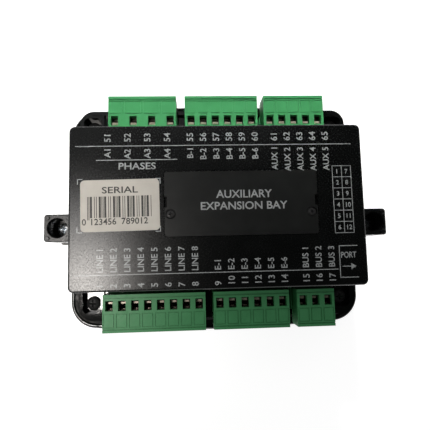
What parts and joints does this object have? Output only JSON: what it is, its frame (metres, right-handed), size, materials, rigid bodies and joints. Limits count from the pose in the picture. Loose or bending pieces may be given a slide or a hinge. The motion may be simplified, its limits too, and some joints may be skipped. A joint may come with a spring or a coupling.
{
  "type": "genset controller",
  "caption": "Panel-mount generator-set controller: framed display and keys in front, stepped black rear housing with pluggable green terminal blocks and screw brackets.",
  "frame": {"origin": "middle of the front rim's plane, under the middle of the whole unit", "axes": "+X along the terminal rows, +Y towards the upper row, +Z from the front to the rear face"},
  "size_m": [0.1364, 0.1068, 0.0461],
  "materials": {
    "bezel_plastic": "fine moulded grain, semi gloss",
    "overlay_film": "printed polycarbonate film, fine texture",
    "lens_clear": "clear",
    "gasket_rubber": "matt foam rubber",
    "housing_plastic": "spark-eroded grain, semi gloss",
    "screw_black": "black oxide",
    "label_film": "satin print film",
    "bracket_plastic": "moulded, semi gloss",
    "screw_zinc": "bright zinc plate",
    "board_green": "solder mask",
    "nylon_white": "natural nylon",
    "component_black": "moulded epoxy",
    "display_frame": "tinned steel",
    "display_glass": "reflective display glass",
    "light_clear": "clear epoxy",
    "coil_amber": "taped coil",
    "can_aluminium": "sleeved can",
    "socket_steel": "nickel plate",
    "pin_tin": "tin plate",
    "terminal_green": "moulded polyamide",
    "clamp_metal": "nickel plate",
    "key_red": "moulded",
    "key_green": "moulded",
    "key_grey": "moulded"
  },
  "bodies": {
    "case": {"front_bezel": "bezel_plastic", "front_overlay": "overlay_film", "display_window": "lens_clear", "panel_gasket": "gasket_rubber", "rear_housing": "housing_plastic", "housing_screws": "screw_black", "module_cover": "housing_plastic", "module_cover_screws": "screw_black", "serial_label": "label_film", "bracket_left": "bracket_plastic", "bracket_right": "bracket_plastic", "bracket_screws": "screw_zinc", "keypad_board": "board_green", "main_board": "board_green", "board_spacers": "nylon_white", "board_connector": "component_black", "display_module": "display_frame", "display_glass": "display_glass", "status_leds": "light_clear", "tact_switches": "component_black", "processor": "component_black", "relays": "component_black", "sense_transformers": "coil_amber", "capacitors": "can_aluminium", "service_socket": "socket_steel", "module_socket": "component_black", "header_pins": "pin_tin", "header_top_left": "terminal_green", "header_top_middle": "terminal_green", "header_top_right": "terminal_green", "header_bottom_left": "terminal_green", "header_bottom_middle": "terminal_green", "header_bottom_right": "terminal_green"},
    "terminal_top_left": {"plug_top_left": "terminal_green", "clamps_top_left": "clamp_metal", "clamp_screws_top_left": "clamp_metal"},
    "terminal_top_middle": {"plug_top_middle": "terminal_green", "clamps_top_middle": "clamp_metal", "clamp_screws_top_middle": "clamp_metal"},
    "terminal_top_right": {"plug_top_right": "terminal_green", "clamps_top_right": "clamp_metal", "clamp_screws_top_right": "clamp_metal"},
    "terminal_bottom_left": {"plug_bottom_left": "terminal_green", "clamps_bottom_left": "clamp_metal", "clamp_screws_bottom_left": "clamp_metal"},
    "terminal_bottom_middle": {"plug_bottom_middle": "terminal_green", "clamps_bottom_middle": "clamp_metal", "clamp_screws_bottom_middle": "clamp_metal"},
    "terminal_bottom_right": {"plug_bottom_right": "terminal_green", "clamps_bottom_right": "clamp_metal", "clamp_screws_bottom_right": "clamp_metal"},
    "key_left": {"key_left": "key_grey"},
    "key_down": {"key_down": "key_grey"},
    "key_up": {"key_up": "key_grey"},
    "key_right": {"key_right": "key_grey"},
    "key_stop": {"key_stop": "key_red"},
    "key_test": {"key_test": "key_grey"},
    "key_auto": {"key_auto": "key_grey"},
    "key_run": {"key_run": "key_green"}
  },
  "joints": [
    {"name": "unplug_top_left", "type": "slide", "parent": "case", "child": "terminal_top_left", "axis": [0, 0, 1], "range_m": [0, 0.012]},
    {"name": "unplug_top_middle", "type": "slide", "parent": "case", "child": "terminal_top_middle", "axis": [0, 0, 1], "range_m": [0, 0.012]},
    {"name": "unplug_top_right", "type": "slide", "parent": "case", "child": "terminal_top_right", "axis": [0, 0, 1], "range_m": [0, 0.012]},
    {"name": "unplug_bottom_left", "type": "slide", "parent": "case", "child": "terminal_bottom_left", "axis": [0, 0, 1], "range_m": [0, 0.012]},
    {"name": "unplug_bottom_middle", "type": "slide", "parent": "case", "child": "terminal_bottom_middle", "axis": [0, 0, 1], "range_m": [0, 0.012]},
    {"name": "unplug_bottom_right", "type": "slide", "parent": "case", "child": "terminal_bottom_right", "axis": [0, 0, 1], "range_m": [0, 0.012]},
    {"name": "press_left", "type": "slide", "parent": "case", "child": "key_left", "axis": [0, 0, 1], "range_m": [0, 0.0005], "stiffness_N_per_m": 50},
    {"name": "press_down", "type": "slide", "parent": "case", "child": "key_down", "axis": [0, 0, 1], "range_m": [0, 0.0005], "stiffness_N_per_m": 50},
    {"name": "press_up", "type": "slide", "parent": "case", "child": "key_up", "axis": [0, 0, 1], "range_m": [0, 0.0005], "stiffness_N_per_m": 50},
    {"name": "press_right", "type": "slide", "parent": "case", "child": "key_right", "axis": [0, 0, 1], "range_m": [0, 0.0005], "stiffness_N_per_m": 50},
    {"name": "press_stop", "type": "slide", "parent": "case", "child": "key_stop", "axis": [0, 0, 1], "range_m": [0, 0.0005], "stiffness_N_per_m": 50},
    {"name": "press_test", "type": "slide", "parent": "case", "child": "key_test", "axis": [0, 0, 1], "range_m": [0, 0.0005], "stiffness_N_per_m": 50},
    {"name": "press_auto", "type": "slide", "parent": "case", "child": "key_auto", "axis": [0, 0, 1], "range_m": [0, 0.0005], "stiffness_N_per_m": 50},
    {"name": "press_run", "type": "slide", "parent": "case", "child": "key_run", "axis": [0, 0, 1], "range_m": [0, 0.0005], "stiffness_N_per_m": 50}
  ]
}
